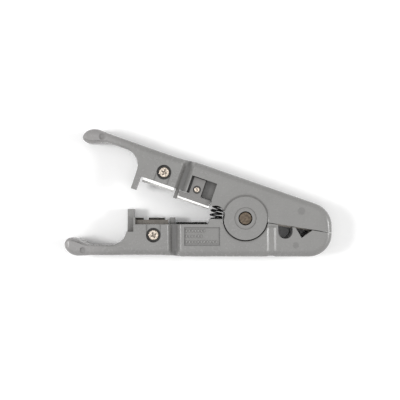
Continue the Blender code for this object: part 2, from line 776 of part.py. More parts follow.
def upper_lever(lever, parent, material):
    """The upper lever: nub, cutter slot, carrier well and the slot of the jaw blade."""
    body = moulded_lever(lever, parent, material)
    plate_top = MID + CUTTER_THICK / 2.0 + GAP
    nub_x = (GROOVE_X - NUB_SHIFT - NUB_WIDTH, GROOVE_X - NUB_SHIFT)
    nub_z = (plate_top, MID + ARM_HALF - GROOVE_DEPTH - RIB_SINK)
    fuse(body, box("upper_nub", nub_x, (-NUB_REACH, lever.edge_w + EDGE_OVERLAP), nub_z, parent))
    x_range = cutter_range()
    slot_x = (x_range[0] - GAP, x_range[1] + GAP)
    slot_z = (MID - CUTTER_THICK / 2.0 - GAP, plate_top)
    slot_w = (-2.0 * RUN_OUT, CUTTER_BODY_W + GAP)
    cut(body, box("cutter_slot", slot_x, slot_w, slot_z, parent))
    tang_x = (tang_range()[0] - GAP, tang_range()[1] + GAP)
    cut(body, box("tang_slot", tang_x, (-2.0 * RUN_OUT, TANG_W + GAP), slot_z, parent))
    well_x = (WINDOW_X0, STEM_X0 + STEM_WIDTH + GAP)
    well_w = (-1.0, WINDOW_W)
    cut(body, box("carrier_well", well_x, well_w, (plate_top - 0.01, ABOVE), parent))
    shelf_x = (STEM_X0, SHELF_END_X)
    shelf_z = (HEAD_THICK - SHELF_DEPTH, ABOVE + GAP)
    cut(body, box("carrier_shelf", shelf_x, well_w, shelf_z, parent))
    half_chord = SPRING_OD / 2.0
    arch_r = (half_chord ** 2 + SPRING_ARCH ** 2) / (2.0 * SPRING_ARCH)
    arch_w = MATING_GAP / 2.0 + SPRING_ARCH - arch_r
    cut(body, post("spring_arch", -SPRING_RADIUS, arch_w, arch_r, (BELOW, ABOVE), parent))
    hole_z = (SCREW_TIP_Z - GAP, MID)
    hole_r = CARRIER_SHANK_R + GAP
    cut(body, post("carrier_screw_hole", CARRIER_SCREW_X, CARRIER_SCREW_W, hole_r, hole_z,
                   parent, sides=20))
    half = JAW_BLADE_THICK / 2.0 + GAP
    along = (JAW_BLADE_X0 - GAP, JAW_BLADE_X1 + GAP)
    off = (-RUN_OUT, JAW_BLADE_BODY + GAP)
    cut(body, jaw_strip("upper_blade_slot", along, off, (MID - half, MID + half), OPEN_DEG,
                        parent))
    return body


# Blades

def strip_range():
    """X range of a stripping blade."""
    start = NOTCH_X + 2.0 * GAP
    return start, start + STRIP_LENGTH


def cutter_range():
    """X range of the cutter."""
    return GROOVE_X - CUTTER_PAST_GROOVE, BAY_END_X - GAP


def tang_range():
    """X range of the cutter's tang, under the carrier's stem."""
    return STEM_X0 + TANG_INSET, STEM_X0 + STEM_WIDTH - TANG_INSET


def anvil_range():
    """X range of the anvil."""
    return GROOVE_X + STUD_SHIFT + GAP, BAY_END_X - GAP


def ground_plate(name, side, x_range, edge_w, body_w, thick, bevel, parent, material):
    """A flat plate ground to an edge from both sides, lying in the mid plane."""
    half = thick / 2.0
    section = [
        (edge_w, -EDGE_LAND),
        (edge_w + bevel, -half),
        (body_w, -half),
        (body_w, half),
        (edge_w + bevel, half),
        (edge_w, EDGE_LAND),
    ]
    rings = []
    for x in x_range:
        rings.append([(x, side * w, MID + z) for w, z in section])
    return skin(name, rings, parent, material)


def stripping_blade(name, lever, notched, parent, material):
    """A stripping blade with its screw hole and, on the lower one, two gaps in the edge."""
    x_range = strip_range()
    edge_w = STRIP_LIFT + STRIP_EDGE_GAP if lever.side > 0.0 else -STRIP_LIFT
    blade = ground_plate(name, lever.side, x_range, edge_w, STRIP_BODY_W, STRIP_THICK,
                         STRIP_BEVEL, parent, material)
    y = lever.side * SCREW_W
    cut(blade, post(name + "_hole", SCREW_X, y, SCREW_SHANK_R + GAP, (BELOW, ABOVE), parent,
                    sides=20))
    if notched:
        first = x_range[0] + STRIP_TOOTH
        last = x_range[1] - 0.7 * STRIP_NOTCH
        for k, gap_x in enumerate(((first, first + STRIP_NOTCH), (last, x_range[1] + 1.0))):
            gap_w = (lever.side * (edge_w + STRIP_BEVEL), -lever.side)
            cut(blade, box(name + "_gap%d" % k, gap_x, gap_w, (BELOW, ABOVE), parent))
    return blade


def cutter_blade(parent, material):
    """The cutter, with a tang that the carrier screw passes through."""
    blade = ground_plate("cutter_blade", 1.0, cutter_range(), CUTTER_EDGE_W, CUTTER_BODY_W,
                         CUTTER_THICK, CUTTER_BEVEL, parent, material)
    half = (CUTTER_THICK - TANG_THIN) / 2.0
    tang_w = (CUTTER_BODY_W / 2.0, TANG_W)
    fuse(blade, box("cutter_tang", tang_range(), tang_w, (MID - half, MID + half), parent))
    cut(blade, post("cutter_hole", CARRIER_SCREW_X, CARRIER_SCREW_W, CARRIER_SHANK_R + GAP,
                    (BELOW, ABOVE), parent, sides=20))
    return blade


def cutter_anvil(parent, material):
    """The steel strip that the cutter closes on, with its near-pivot end rounded."""
    top = CUTTER_EDGE_W - ANVIL_GAP
    x0, x1 = anvil_range()
    corners = [
        (x0, -ANVIL_BODY_W, 0.0, 0.0),
        (x1, -ANVIL_BODY_W, 0.0, 0.0),
        (x1, top, ANVIL_END_R, 0.0),
        (x0, top, 0.0, 0.0),
    ]
    outline, _ = round_corners(corners, step_deg=22.0)
    half = ANVIL_THICK / 2.0
    return extrude("cutter_anvil", outline, (MID - half, MID + half), parent, material)


def jaw_blade(parent, material):
    """The straight blade of the round-cable jaw, set in the upper jaw."""
    half = JAW_BLADE_THICK / 2.0
    section = [
        (-JAW_BLADE_REACH, -EDGE_LAND),
        (-JAW_BLADE_REACH + JAW_BLADE_BEVEL, -half),
        (JAW_BLADE_BODY, -half),
        (JAW_BLADE_BODY, half),
        (-JAW_BLADE_REACH + JAW_BLADE_BEVEL, half),
        (-JAW_BLADE_REACH, EDGE_LAND),
    ]
    rings = []
    for along in (JAW_BLADE_X0, JAW_BLADE_X1):
        ring = []
        for off, z in section:
            x, y = jaw_point(along, off, OPEN_DEG)
            ring.append((x, y, MID + z))
        rings.append(ring)
    return skin("jaw_blade", rings, parent, material)


# Carrier, screws, pin and spring

def blade_carrier(parent, material):
    """The inverted T that clamps the cutter: bar along the edge, stem in the window."""
    x0 = GROOVE_X + GAP
    x1 = SHELF_END_X - GAP
    bar_top = UPPER_EDGE_W - GAP
    stem_x1 = STEM_X0 + STEM_WIDTH
    corners = [
        (x0, CARRIER_EDGE_W, 0.3, 0.0),
        (x1, CARRIER_EDGE_W, 0.3, 0.0),
        (x1, bar_top, 0.3, 0.0),
        (stem_x1, bar_top, 0.4, 0.0),
        (stem_x1, WINDOW_W - GAP, 0.3, 0.0),
        (STEM_X0, WINDOW_W - GAP, 0.3, 0.0),
        (STEM_X0, bar_top, 0.4, 0.0),
        (x0, bar_top, 0.3, 0.0),
    ]
    outline, _ = round_corners(corners, step_deg=30.0)
    base = MID + CUTTER_THICK / 2.0 + GAP
    top = HEAD_THICK - CARRIER_SINK
    body = extrude("blade_carrier", outline, (base, top), parent, material)
    spot_z = (top - CARRIER_HEAD_H - GAP, ABOVE)
    cut(body, post("carrier_spot", CARRIER_SCREW_X, CARRIER_SCREW_W, CARRIER_SPOT_R, spot_z,
                   parent, sides=28))
    cut(body, post("carrier_hole", CARRIER_SCREW_X, CARRIER_SCREW_W, CARRIER_SHANK_R + GAP,
                   (BELOW, ABOVE), parent, sides=20))
    return body


def pan_screw(name, x, y, seat_z, head_r, head_h, shank_r, parent, material):
    """A pan-head screw with a cross recess, standing on its seat."""
    base = seat_z + GAP
    top = base + head_h
    profile = [
        (0.0, SCREW_TIP_Z),
        (0.45 * shank_r, SCREW_TIP_Z),
        (shank_r, SCREW_TIP_Z + shank_r),
        (shank_r, base),
        (head_r, base),
        (head_r, base + 0.45 * head_h),
        (0.9 * head_r, base + 0.72 * head_h),
        (0.7 * head_r, base + 0.91 * head_h),
        (0.38 * head_r, top),
        (0.0, top),
    ]
    screw = turned(name, profile, x, y, parent, material, steps=28)
    wing = 0.62 * head_r
    thick = 0.13 * head_r
    floor = top - 0.6 * head_h
    for k, (dx, dy) in enumerate(((wing, thick), (thick, wing))):
        bm = bmesh.new()
        low = [(x - 0.4 * dx, y - 0.4 * dy), (x + 0.4 * dx, y - 0.4 * dy),
               (x + 0.4 * dx, y + 0.4 * dy), (x - 0.4 * dx, y + 0.4 * dy)]
        high = [(x - dx, y - dy), (x + dx, y - dy), (x + dx, y + dy), (x - dx, y + dy)]
        bottom = [bm.verts.new((*point, floor)) for point in low]
        upper = [bm.verts.new((*point, top + CROSS_RISE)) for point in high]
        bm.faces.new(bottom[::-1])
        bm.faces.new(upper)
        for i in range(4):
            j = (i + 1) % 4
            bm.faces.new((bottom[i], bottom[j], upper[j], upper[i]))
        cut(screw, add_object(name + "_cross%d" % k, bm, parent))
    return screw


def pivot_pin(parent, material):
    """The pin through both discs: its near end is sunk, its far end is flush."""
    top = HEAD_THICK - PIN_SINK
    profile = [
        (0.0, 0.0),
        (PIN_R, 0.0),
        (PIN_R, top - PIN_CHAMFER),
        (PIN_R - PIN_CHAMFER, top),
        (0.0, top),
    ]
    return turned("pivot_pin", profile, 0.0, 0.0, parent, material, steps=40)


def spring_axis(travel):
    """Centre line of the spring and its lean: straight in each seat, curved between."""
    seat = SPRING_SEAT - GAP - SPRING_WIRE / 2.0
    swing = math.radians(OPEN_DEG)
    arc = SPRING_RADIUS * swing
    if travel < seat:
        return Vector((-SPRING_RADIUS, travel - seat, MID)), 0.0
    if travel < seat + arc:
        angle = (travel - seat) / SPRING_RADIUS
        x, y = turn(-SPRING_RADIUS, 0.0, -math.degrees(angle))
        return Vector((x, y, MID)), -angle
    x, y = turn(-SPRING_RADIUS, travel - seat - arc, -OPEN_DEG)
    return Vector((x, y, MID)), -swing


def return_spring(parent, material):
    """The compression spring between the levers, with one closed turn at each end."""
    sides = 6
    per_turn = 16
    total = int(SPRING_TURNS * per_turn)
    length = 2.0 * (SPRING_SEAT - GAP - SPRING_WIRE / 2.0)
    length += SPRING_RADIUS * math.radians(OPEN_DEG)
    closed = 1.08 * SPRING_WIRE
    coil_r = (SPRING_OD - SPRING_WIRE) / 2.0
    rings = []
    for i in range(total + 1):
        turns = i / per_turn
        left = SPRING_TURNS - turns
        travel = closed + (length - 2.0 * closed) * (turns - 1.0) / (SPRING_TURNS - 2.0)
        if turns <= 1.0:
            travel = closed * turns
        if left <= 1.0:
            travel = length - closed * left
        centre, lean = spring_axis(travel)
        sideways = Vector((math.cos(lean), math.sin(lean), 0.0))
        upright = Vector((0.0, 0.0, 1.0))
        along = Vector((-math.sin(lean), math.cos(lean), 0.0))
        angle = 2.0 * math.pi * turns
        outward = sideways * math.cos(angle) + upright * math.sin(angle)
        middle = centre + outward * coil_r
        ring = []
        for k in range(sides):
            around = 2.0 * math.pi * k / sides
            offset = outward * math.cos(around) + along * math.sin(around)
            ring.append(middle + offset * SPRING_WIRE / 2.0)
        rings.append(ring)
    return skin("return_spring", rings, parent, material)


def main():
    clear_scene()
    lower_frame = bpy.data.objects.new("lower_frame", None)
    upper_frame = bpy.data.objects.new("upper_frame", None)
    for frame in (lower_frame, upper_frame):
        bpy.context.scene.collection.objects.link(frame)
    upper_frame.rotation_euler = (0.0, 0.0, -math.radians(OPEN_DEG))

    plastic = paint("moulded_grey", (0.25, 0.247, 0.241), 0.4, 0.0)
    carrier_grey = paint("carrier_grey", (0.2, 0.19, 0.185), 0.5, 0.0)
    steel = paint("ground_steel", (0.8, 0.79, 0.77), 0.3, 1.0)
    dark_steel = paint("dark_steel", (0.08, 0.075, 0.07), 0.4, 1.0)
    nickel = paint("nickel", (0.8, 0.77, 0.72), 0.22, 1.0)
    brass = paint("brown_brass", (0.3, 0.2, 0.12), 0.4, 1.0)
    black_wire = paint("black_wire", (0.02, 0.02, 0.02), 0.35, 1.0)

    lower = Lever("lower_lever", -1.0, LOWER_HEAD_W, LOWER_ARM_W, LOWER_EDGE_W, LOWER_TIP_X,
                  LOWER_ARC_R, NOTCH_X - GAP - GUARD_WIDTH)
    upper = Lever("upper_lever", 1.0, UPPER_HEAD_W, UPPER_ARM_W, UPPER_EDGE_W, UPPER_TIP_X,
                  UPPER_ARC_R, NOTCH_X - TAB_GAP - TAB_WIDTH)
    lower_lever(lower, lower_frame, plastic)
    upper_lever(upper, upper_frame, plastic)

    stripping_blade("stripping_blade_lower", lower, True, lower_frame, dark_steel)
    stripping_blade("stripping_blade_upper", upper, False, upper_frame, steel)
    cutter_anvil(lower_frame, dark_steel)
    cutter_blade(upper_frame, steel)
    jaw_blade(upper_frame, dark_steel)
    blade_carrier(upper_frame, carrier_grey)

    seat_z = MID + ARM_HALF - SCREW_BORE_DEPTH
    pan_screw("blade_screw_lower", SCREW_X, -SCREW_W, seat_z, SCREW_HEAD_R, SCREW_HEAD_H,
              SCREW_SHANK_R, lower_frame, nickel)
    pan_screw("blade_screw_upper", SCREW_X, SCREW_W, seat_z, SCREW_HEAD_R, SCREW_HEAD_H,
              SCREW_SHANK_R, upper_frame, nickel)
    carrier_seat = HEAD_THICK - CARRIER_SINK - CARRIER_HEAD_H - GAP
    pan_screw("carrier_screw", CARRIER_SCREW_X, CARRIER_SCREW_W, carrier_seat, CARRIER_HEAD_R,
              CARRIER_HEAD_H, CARRIER_SHANK_R, upper_frame, nickel)
    pivot_pin(lower_frame, brass)
    return_spring(lower_frame, black_wire)


main()
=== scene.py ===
"""Looks of the squeeze-type cable stripper: the finish of every piece, the fine pieces that
the solids leave out, and a pale studio with the camera straight above the tool.

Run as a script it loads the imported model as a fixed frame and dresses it.  Lengths are in
metres, in the frame of the solids: the pivot axis is Z at the origin, X runs to the nose.
"""

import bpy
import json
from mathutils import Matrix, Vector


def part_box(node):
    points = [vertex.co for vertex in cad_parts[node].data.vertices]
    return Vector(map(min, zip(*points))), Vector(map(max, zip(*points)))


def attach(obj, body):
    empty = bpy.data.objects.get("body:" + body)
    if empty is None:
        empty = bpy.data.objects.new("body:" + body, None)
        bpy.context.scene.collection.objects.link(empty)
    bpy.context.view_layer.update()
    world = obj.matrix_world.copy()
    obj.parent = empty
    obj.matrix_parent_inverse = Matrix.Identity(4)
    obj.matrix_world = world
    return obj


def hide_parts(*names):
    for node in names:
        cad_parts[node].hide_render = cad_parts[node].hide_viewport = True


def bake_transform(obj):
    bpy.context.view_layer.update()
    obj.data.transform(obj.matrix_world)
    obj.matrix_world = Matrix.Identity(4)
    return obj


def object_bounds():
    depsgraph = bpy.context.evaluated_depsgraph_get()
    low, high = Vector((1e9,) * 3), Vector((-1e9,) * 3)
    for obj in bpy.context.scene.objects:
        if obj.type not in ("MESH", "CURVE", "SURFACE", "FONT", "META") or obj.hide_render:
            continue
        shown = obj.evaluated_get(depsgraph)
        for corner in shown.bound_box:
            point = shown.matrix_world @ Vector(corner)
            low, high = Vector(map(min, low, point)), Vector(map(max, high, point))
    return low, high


bl_info = {
    "name": "Cable Stripper Looks",
    "version": (1, 0, 0),
    "blender": (4, 5, 0),
    "location": "3D View > Sidebar > Stripper",
    "description": "Finishes, screws, spring, moulding marks and studio of a cable stripper",
    "category": "Object",
}

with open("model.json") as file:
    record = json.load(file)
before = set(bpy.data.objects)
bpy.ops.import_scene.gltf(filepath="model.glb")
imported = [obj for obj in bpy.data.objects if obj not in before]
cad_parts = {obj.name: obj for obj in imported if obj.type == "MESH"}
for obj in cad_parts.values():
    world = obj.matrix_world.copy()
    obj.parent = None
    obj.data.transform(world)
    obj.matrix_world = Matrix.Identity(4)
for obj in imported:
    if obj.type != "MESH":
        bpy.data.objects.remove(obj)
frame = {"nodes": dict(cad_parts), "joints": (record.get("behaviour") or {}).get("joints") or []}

import json
import math

import bmesh
import bpy
from bpy.props import FloatProperty, FloatVectorProperty, IntProperty, PointerProperty
from mathutils import Matrix, Vector

MM = 0.001
SOLID_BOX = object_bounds()

LOWER = "lower_half"
UPPER = "upper_half"
FACE_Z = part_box("lower_lever")[1].z
MID_Z = FACE_Z / 2.0

# The upper lever's turn at rest: the pivot's range, and what is left of it when closed
CLOSED_DEG = 0.2
OPEN_DEG = frame["joints"][0]["range_deg"][1] + CLOSED_DEG

# The recessed panel on the near face
PANEL_LEFT = -28.7 * MM
PANEL_RIGHT = -11.9 * MM
PANEL_TOP = -4.1 * MM
PANEL_LOW = -12.8 * MM
PANEL_DEPTH = 0.4 * MM

# Its rows of pips: place down the panel, start and end, as shares of the panel's sides
PIP_ROWS = ((0.2, 0.06, 0.56), (0.5, 0.06, 0.52), (0.8, 0.06, 0.95))
PIP_PITCH = 1.4 * MM
PIP_ACROSS = (0.8 * MM, 1.75 * MM)
PIP_HEIGHT = 0.4 * MM
PIP_ROOT = 0.02 * MM
PIP_SHADE = 1.12

# The round ejector marks on the near face, at rest: x, y and radius
UPPER_MARK = (26.2 * MM, 3.4 * MM, 1.9 * MM)
LOWER_MARK = (23.6 * MM, -12.6 * MM, 1.6 * MM)
MARK_HEIGHT = 0.014 * MM
MARK_ROOT = 0.004 * MM
MARK_SHADE = 0.8

# Painted light on a lever whose length lies along X: painted highlight on the hook, painted
# shade in the grip groove and along the panel's walls
HOOK_TIP_X = -74.0 * MM
HOOK_ROOT_X = -62.0 * MM
GROOVE_X = -33.0 * MM
GROOVE_SHADE_FULL = 0.2 * MM
GROOVE_SHADE_REACH = 1.5 * MM
GROOVE_ROUGH = 0.25
PANEL_SHADE_START = 0.02 * MM
PANEL_SHADE_REACH = 0.9 * MM
PANEL_SHADE_THIN = 0.12

# The mould seam round a lever's middle
SEAM_HALF = 0.1 * MM
SEAM_HEIGHT = 0.03 * MM

# Tones against the open plastic, factors of red, green and blue, and of all: painted shade in
# recesses, painted highlight on the hook, painted shade in the groove and along the panel
RECESS_SHADE_TINT = (1.06, 0.98, 0.88)
RECESS_SHADE_TONE = 0.2
HOOK_HIGHLIGHT_TINT = (1.0, 0.985, 1.0)
HOOK_HIGHLIGHT_TONE = 1.2
GROOVE_SHADE_TONE = 0.55
PANEL_SHADE_TONE = 0.6

# Where nearly all values of a noise texture lie
NOISE_SPAN = (0.3, 0.7)

# How upright a blade's faces are where its bevel's painted reflection tone gives way to that of
# its flats
FLAT_SPAN = (0.955, 0.985)

# Angles from which an edge between smooth faces stays sharp
SOLID_SHARP_DEG = 32.0
PIECE_SHARP_DEG = 40.0
WELD_GAP = 1e-6

# The studio; the left glint lamp's power is a multiple of the right one's
VIEW_CENTRE = (-21.29 * MM, 8.61 * MM)
CLIP_START = 0.01
FLOOR_HALF = 1.5
FLOOR_DROP = 0.05 * MM
FLOOR_SEEN = (1.06, 1.06, 1.06, 1.0)
FLOOR_LIT = (0.85, 0.85, 0.85, 1.0)
WHITE = (1.0, 1.0, 1.0, 1.0)
LAMP_DISTANCE = 0.75
LEFT_GLINT = 1.25


# Settings that a user would change

class PlasticSettings(bpy.types.PropertyGroup):
    """Colours and texture of the moulded pieces."""
    lever: FloatVectorProperty(
        name="Levers", description="Colour of both levers", subtype="COLOR", size=3,
        min=0.0, max=1.0, default=(0.234, 0.231, 0.225))
    carrier: FloatVectorProperty(
        name="Carrier", description="Colour of the blade carrier", subtype="COLOR", size=3,
        min=0.0, max=1.0, default=(0.2, 0.195, 0.19))
    grain: FloatProperty(
        name="Grain", description="Width of the moulded texture's grains", unit="LENGTH",
        min=0.00005, max=0.002, default=0.0003)
    grain_depth: FloatProperty(
        name="Grain depth", description="Height of the moulded texture", unit="LENGTH",
        min=0.0, max=0.0001, default=0.000004)


class MetalSettings(bpy.types.PropertyGroup):
    """Colours of the metal pieces."""
    steel: FloatVectorProperty(
        name="Ground steel", description="Colour of the bright blades", subtype="COLOR", size=3,
        min=0.0, max=1.0, default=(0.94, 0.93, 0.91))
    dark_steel: FloatVectorProperty(
        name="Dark steel", description="Colour of the dark blades", subtype="COLOR", size=3,
        min=0.0, max=1.0, default=(0.12, 0.112, 0.102))
    black_steel: FloatVectorProperty(
        name="Black steel", description="Colour of the anvil", subtype="COLOR", size=3,
        min=0.0, max=1.0, default=(0.012, 0.012, 0.011))
    nickel: FloatVectorProperty(
        name="Nickel", description="Colour of the screws", subtype="COLOR", size=3,
        min=0.0, max=1.0, default=(0.51, 0.445, 0.38))
    brass: FloatVectorProperty(
        name="Browned brass", description="Colour of the pivot pin", subtype="COLOR", size=3,
        min=0.0, max=1.0, default=(0.12, 0.096, 0.073))
    wire: FloatVectorProperty(
        name="Spring wire", description="Colour of the spring", subtype="COLOR", size=3,
        min=0.0, max=1.0, default=(0.028, 0.027, 0.027))


class SpringSettings(bpy.types.PropertyGroup):
    """Form of the spring between the levers."""
    wire: FloatProperty(
        name="Wire", description="Diameter of the spring wire", unit="LENGTH",
        min=0.0002, max=0.002, default=0.0008)
    outer: FloatProperty(
        name="Coil", description="Outside diameter of the spring's coil", unit="LENGTH",
        min=0.002, max=0.02, default=0.0062)
    turns: IntProperty(
        name="Turns", description="Number of turns, the closed end turns among them",
        min=3, max=20, default=8)


class StageSettings(bpy.types.PropertyGroup):
    """Camera and light."""
    view_width: FloatProperty(
        name="View width", description="Width of the view at the near face", unit="LENGTH",
        min=0.05, max=1.0, default=0.1872)
    camera_rise: FloatProperty(
        name="Camera rise", description="Height of the camera above the near face",
        unit="LENGTH", min=0.1, max=3.0, default=0.366)
    top_power: FloatProperty(
        name="Top lamp", description="Power of the lamp above", unit="POWER",
        min=0.0, max=100.0, default=0.74)
    side_power: FloatProperty(
        name="Side lamps", description="Power of each broad lamp beside the tool",
        unit="POWER", min=0.0, max=100.0, default=1.4)
    glint_power: FloatProperty(
        name="Glint lamps", description="Power of the small lamp at the nose; the one at the "
        "hooks has a quarter more", unit="POWER", min=0.0, max=100.0, default=1.52)
    sky: FloatProperty(
        name="Sky", description="Strength of the even light all round", min=0.0, max=5.0,
        default=0.41)


# Meshes

def add_mesh(name, bm, material):
    """An object of a finished mesh and its material, in the scene's own collection."""
    mesh = bpy.data.meshes.new(name)
    bm.to_mesh(mesh)
    bm.free()
    mesh.materials.append(material)
    thing = bpy.data.objects.new(name, mesh)
    bpy.context.scene.collection.objects.link(thing)
    return thing


def add_piece(name, bm, body, material):
    """A new piece with a given finish, which rides on a body if one is given."""
    bmesh.ops.recalc_face_normals(bm, faces=bm.faces)
    piece = add_mesh(name, bm, material)
    piece.data.shade_smooth()
    piece.data.set_sharp_from_angle(angle=math.radians(PIECE_SHARP_DEG))
    if body:
        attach(piece, body)
    return piece


def join_rings(bm, rings):
    """Quads between each ring of vertices and the next."""
    for ring, following in zip(rings, rings[1:]):
        for k in range(len(ring)):
            j = (k + 1) % len(ring)
            bm.faces.new((ring[k], ring[j], following[j], following[k]))


def dome(bm, centre, across, height):
    """A low rounded pip with an elliptical foot: rings that close over its top."""
    sides = 16
    levels = 4
    step_deg = 26.0
    rings = []
    for level in range(levels):
        angle = math.radians(step_deg * level)
        ring = []
        for k in range(sides):
            turn = 2.0 * math.pi * k / sides
            ring.append(bm.verts.new((
                centre[0] + across[0] / 2.0 * math.cos(angle) * math.cos(turn),
                centre[1] + across[1] / 2.0 * math.cos(angle) * math.sin(turn),
                centre[2] + height * math.sin(angle))))
        rings.append(ring)
    join_rings(bm, rings)
    bm.faces.new(rings[0][::-1])
    bm.faces.new(rings[-1])


def smooth_solid(node, material):
    """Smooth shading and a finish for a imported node, with its shape left as it is."""
    solid = frame["nodes"][node]
    solid.data.polygons.foreach_set("use_smooth", [True] * len(solid.data.polygons))
    weld = solid.modifiers.new("weld", "WELD")
    weld.merge_threshold = WELD_GAP
    split = solid.modifiers.new("split_sharp_edges", "EDGE_SPLIT")
    split.split_angle = math.radians(SOLID_SHARP_DEG)
    split.use_edge_sharp = False
    even = solid.modifiers.new("even_normals", "WEIGHTED_NORMAL")
    even.weight = 100
    even.keep_sharp = True
    for place in range(len(solid.data.materials)):
        solid.data.materials[place] = material
    return solid


# Materials

def shade(color, factor):
    """A colour made lighter or darker, as RGBA."""
    return (*[min(1.0, part * factor) for part in color], 1.0)


def tint(color, factors):
    """A colour with each of its three parts made stronger or weaker."""
    return [part * factor for part, factor in zip(color, factors)]


class Finish:
    """A material whose nodes are added by short calls."""

    def __init__(self, name, roughness, metallic):
        self.material = bpy.data.materials.new(name)
        self.material.use_nodes = True
        self.tree = self.material.node_tree
        self.shader = self.tree.nodes["Principled BSDF"]
        self.shader.inputs["Roughness"].default_value = roughness
        self.shader.inputs["Metallic"].default_value = metallic
        self.place = self.add("ShaderNodeTexCoord").outputs["Object"]

    def add(self, kind, **inputs):
        """A node with its inputs set to values or linked to other nodes' outputs."""
        node = self.tree.nodes.new(kind)
        for name, value in inputs.items():
            self.feed(node.inputs[name.replace("_", " ")], value)
        return node

    def feed(self, socket, value):
        """Link an output to a socket, or set the socket's own value."""
        if isinstance(value, bpy.types.NodeSocket):
            self.tree.links.new(value, socket)
        else:
            socket.default_value = value

    def noise(self, size, detail, place=None):
        """Even noise with features of about one size."""
        node = self.add("ShaderNodeTexNoise", Vector=place or self.place, Scale=1.0 / size,
                        Detail=detail)
        return node.outputs["Fac"]

    def stretched(self, across, along, turn_deg):
        """Coordinates for lines: fine across, long along Y after a turn about Z."""
        node = self.add("ShaderNodeMapping", Vector=self.place,
                        Rotation=(0.0, 0.0, math.radians(turn_deg)),
                        Scale=(1.0 / across, 1.0 / along, 1.0 / along))
        return node.outputs["Vector"]

    def span(self, value, low, high, start=0.0, end=1.0):
        """Map a value's range from start..end to low..high."""
        node = self.add("ShaderNodeMapRange", Value=value)
        node.inputs["From Min"].default_value = start
        node.inputs["From Max"].default_value = end
        node.inputs["To Min"].default_value = low
        node.inputs["To Max"].default_value = high
        return node.outputs["Result"]

    def math(self, operation, first, second=0.0):
        """The result of one Math node, by the name of its operation."""
        node = self.tree.nodes.new("ShaderNodeMath")
        node.operation = operation
        self.feed(node.inputs[0], first)
        self.feed(node.inputs[1], second)
        return node.outputs[0]

    def distance(self, value, middle):
        """How far a value lies from a middle one, on either side."""
        return self.math("ABSOLUTE", self.math("SUBTRACT", value, middle))

    def blend(self, share, first, second):
        """Mix two colours by a share of the second."""
        node = self.tree.nodes.new("ShaderNodeMix")
        node.data_type = "RGBA"
        self.feed(node.inputs[0], share)
        self.feed(node.inputs[6], first)
        self.feed(node.inputs[7], second)
        return node.outputs[2]

    def shelter(self, reach, start, end):
        """A share that falls from 1 in the open to 0 deep in slots and corners."""
        node = self.add("ShaderNodeAmbientOcclusion", Distance=reach)
        node.samples = 8
        return self.span(node.outputs["AO"], 0.0, 1.0, start, end)

    def lever_place(self, swing_deg):
        """The place along a lever and the height, with the lever's swing taken back."""
        node = self.add("ShaderNodeMapping", Vector=self.place,
                        Rotation=(0.0, 0.0, math.radians(swing_deg)))
        parts = self.add("ShaderNodeSeparateXYZ", Vector=node.outputs["Vector"])
        return parts.outputs["X"], parts.outputs["Z"]

    def panel_inset(self):
        """How far a place lies inside the recessed panel's outline, negative outside."""
        parts = self.add("ShaderNodeSeparateXYZ", Vector=self.place)
        insets = []
        for axis, low, high in (("X", PANEL_LEFT, PANEL_RIGHT), ("Y", PANEL_LOW, PANEL_TOP)):
            off = self.distance(parts.outputs[axis], (low + high) / 2.0)
            insets.append(self.math("SUBTRACT", (high - low) / 2.0, off))
        return self.math("MINIMUM", *insets)

    def edges(self, radius):
        """Normals that round every sharp edge by a small radius."""
        node = self.add("ShaderNodeBevel", Radius=radius)
        node.samples = 6
        return node.outputs["Normal"]

    def bump(self, height, depth, normal=None):
        """Relief of a real depth, on top of other normals."""
        node = self.add("ShaderNodeBump", Height=height, Distance=depth, Strength=1.0)
        if normal is not None:
            self.feed(node.inputs["Normal"], normal)
        return node.outputs["Normal"]

    def surface(self, color, roughness, normal):
        """Link what varies to the shader, and hand over the material."""
        self.feed(self.shader.inputs["Base Color"], color)
        self.feed(self.shader.inputs["Roughness"], roughness)
        self.feed(self.shader.inputs["Normal"], normal)
        return self.material


def moulded_plastic(name, color, settings, rounding=0.12 * MM, swing_deg=None, panel=False):
    """Grey plastic from a spark-eroded mould: fine grain, faint mottle, painted shade in slots.

    Only a lever gives its swing, which brings its length along X again for its painted
    highlight on the hook and painted shade in the groove, and only the lever with the recessed
    panel has painted shade along that panel's walls.
    """
    finish = Finish(name, roughness=0.3, metallic=0.0)
    mottle = finish.noise(size=7.0 * MM, detail=3.0)
    tone = finish.blend(finish.span(mottle, 0.0, 1.0, *NOISE_SPAN), shade(color, 0.96),
                        shade(color, 1.04))
    # Painted shade, tinted warm, in slots and corners where the ambient occlusion is low
    recess_shade = shade(tint(color, RECESS_SHADE_TINT), RECESS_SHADE_TONE)
    exposed = finish.shelter(reach=4.0 * MM, start=0.12, end=0.99)
    tone = finish.blend(exposed, recess_shade, tone)
    rough = finish.span(finish.noise(size=1.6 * MM, detail=4.0), 0.22, 0.3, *NOISE_SPAN)
    grain = finish.noise(settings.grain, detail=3.0)
    rounded = finish.edges(rounding) if rounding else None
    normal = finish.bump(grain, settings.grain_depth, rounded)
    if swing_deg is not None:
        along, height = finish.lever_place(swing_deg)
        # A painted highlight on the hook and painted shade in the grip groove
        tone, rough = painted_hook_and_groove(finish, color, tone, rough, along)
        if panel:
            # Painted shade along the recessed panel's walls
            tone = painted_panel_shade(finish, color, tone, height)
        seam = finish.span(finish.distance(height, MID_Z), 1.0, 0.0, 0.0, SEAM_HALF)
        normal = finish.bump(seam, SEAM_HEIGHT, normal)
    return finish.surface(tone, rough, normal)


